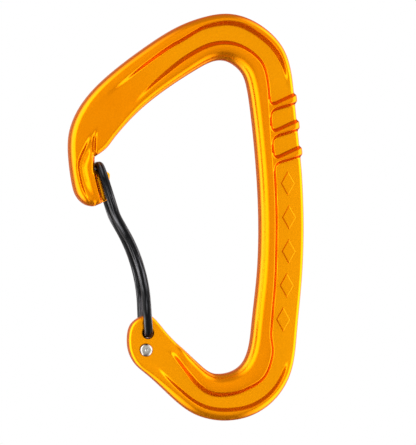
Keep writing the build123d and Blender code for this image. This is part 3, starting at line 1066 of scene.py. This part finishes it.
# The spine bows out most at a share of the way down to the lower seat; the row sits below that.
lower_seat, bow_share, row_drop = -75.6, 0.53, 6.0
row_middle = bow_share * lower_seat - row_drop
mark_count, mark_pitch, mark_inset = 5, 8.2, 3.7
bow_middle, bow_radius = -40.1, 170
marks, turns = [], []
for side in (-1, 1):
    for i in range(mark_count):
        z = row_middle + (i - mark_count // 2) * mark_pitch
        x = spine_edge - mark_inset - (z - bow_middle) ** 2 / (2 * bow_radius)
        marks.append((x * MM, side * web_floor * MM, z * MM))
        turns.append((0, 0, 0 if side < 0 else math.pi))
spots = bpy.data.meshes.new("mark_spots")
spots.from_pydata(marks, [], [])
facing = spots.attributes.new("turn", "FLOAT_VECTOR", "POINT")
facing.data.foreach_set("vector", np.array(turns).ravel())
holder = bpy.data.objects.new("mark_spots", spots)
bpy.context.scene.collection.objects.link(holder)
row_of_marks = made_by(mark_tree(), holder, "raised_lozenges", Lozenge=lozenge, Material=anodised)
bpy.data.objects.remove(lozenge)
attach(row_of_marks, "frame")
print("marks:", len(row_of_marks.data.vertices), "points")

# %% [markdown]
# **The studio.**  The carabiner hangs in a light tent that is even and bright in front, and
# brighter above than below.  Flat faces mirror the middle of the front.  Two tall lamps stand
# left and right, and rounded edges mirror them as thin yellow lines.  Elsewhere the tent is dim
# and warm, and edges mirror that as rust brown.  Four ramps draw the tent from the direction
# alone: each turns one coordinate of the direction into a grey level.

# %% Light tent
world = bpy.data.worlds.new("light_tent")
bpy.context.scene.world = world
world.use_nodes = True
tree = world.node_tree
tree.nodes.clear()
direction = node(tree, "ShaderNodeTexCoord").outputs["Generated"]
split = node(tree, "ShaderNodeSeparateXYZ", Vector=direction)
sideways = node(tree, "ShaderNodeMath", {"operation": "ABSOLUTE"}, _0=split.outputs["X"])
front_to_back, upwards = split.outputs["Y"], split.outputs["Z"]
levels = {}
for part, value, low, high, stops in (
    ("room", front_to_back, -1, 1,
     [(0.0, 1.0), (0.08, 0.95), (0.24, 0.5), (0.6, 0.42), (0.85, 0.45), (1.0, 0.6)]),
    ("height", upwards, -1, 1, [(0.0, 0.9), (0.3, 0.9), (0.5, 1.0), (0.72, 1.1), (1.0, 1.5)]),
    ("lamp_side", sideways.outputs[0], 0.25, 0.75, [(0.0, 0.0), (1.0, 1.0)]),
    ("lamp_depth", front_to_back, -1, 1, [(0.12, 0.0), (0.26, 1.0), (0.78, 1.0), (0.9, 0.0)]),
):
    share = node(tree, "ShaderNodeMapRange", Value=value, From_Min=low, From_Max=high)
    ramp = node(tree, "ShaderNodeValToRGB", Fac=share.outputs[0])
    ramp.color_ramp.interpolation = "EASE"
    while len(ramp.color_ramp.elements) < len(stops):
        ramp.color_ramp.elements.new(0.5)
    for element, (position, level) in zip(ramp.color_ramp.elements, stops):
        element.position = position
        element.color = (level, level, level, 1)
    levels[part] = ramp.outputs["Color"]

lamp_strength, tent_strength = 2.7, 1.4
TIMES = {"operation": "MULTIPLY"}
lamps = node(tree, "ShaderNodeMath", TIMES, _0=levels["lamp_side"], _1=levels["lamp_depth"])
lamps = node(tree, "ShaderNodeMath", TIMES, _0=lamps.outputs[0], _1=lamp_strength)
room = node(tree, "ShaderNodeMath", TIMES, _0=levels["room"], _1=levels["height"])
total = node(
    tree, "ShaderNodeMath", {"operation": "ADD"}, _0=room.outputs[0], _1=lamps.outputs[0]
)
warmth = node(
    tree, "ShaderNodeMix", COLOURS, _0=total.outputs[0], _6=srgb("a04818"), _7=srgb("ffffff")
)
strength = node(tree, "ShaderNodeMath", TIMES, _0=total.outputs[0], _1=tent_strength)
tent = node(tree, "ShaderNodeBackground", Color=warmth.outputs[2], Strength=strength.outputs[0])
backdrop_light = node(tree, "ShaderNodeBackground", Color=srgb("ffffff"), Strength=1.0)
seen = node(tree, "ShaderNodeLightPath")
both = node(
    tree, "ShaderNodeMixShader",
    _0=seen.outputs["Is Camera Ray"], _1=tent.outputs[0], _2=backdrop_light.outputs[0],
)
out = tree.nodes.new("ShaderNodeOutputWorld")
tree.links.new(both.outputs[0], out.inputs[0])
print("tent:", len(tree.nodes), "nodes")

# %% [markdown]
# **Floor and camera.**  White paper lies well below the carabiner.  The camera stands far away
# with a long lens, so the picture has little perspective, and 7.5 degrees to the left of
# straight ahead.

# %% Floor and camera
floor_half, floor_level = 3000, -230
floor_corners = [
    (x * floor_half, y * floor_half, floor_level) for x, y in ((-1, -1), (1, -1), (1, 1), (-1, 1))
]
floor = new_piece("studio_floor", floor_corners, [(0, 1, 2, 3)])
pale, tree, shader = new_material("matt_white_paper")
shader.inputs["Base Color"].default_value = srgb("fbfbfa")
shader.inputs["Roughness"].default_value = 0.9
floor.data.materials.append(pale)
floor.visible_glossy = False

centre = Vector((-1.9, 0, -39.1)) * MM
distance, view_width, sensor_width = 1.5, 0.1073, 36
camera_data = bpy.data.cameras.new("camera")
camera_data.sensor_fit = "AUTO"
camera_data.sensor_width = sensor_width
camera_data.lens = sensor_width * distance / view_width
camera_data.clip_end = 20
camera = bpy.data.objects.new("camera", camera_data)
azimuth = math.radians(-7.5)
camera.location = centre + Vector((math.sin(azimuth), -math.cos(azimuth), 0)) * distance
camera.rotation_euler = (centre - camera.location).to_track_quat("-Z", "Y").to_euler()
bpy.context.scene.collection.objects.link(camera)
bpy.context.scene.camera = camera
bpy.context.scene.view_settings.view_transform = "Standard"
print("camera", [round(c, 3) for c in camera.location], "lens", round(camera_data.lens))
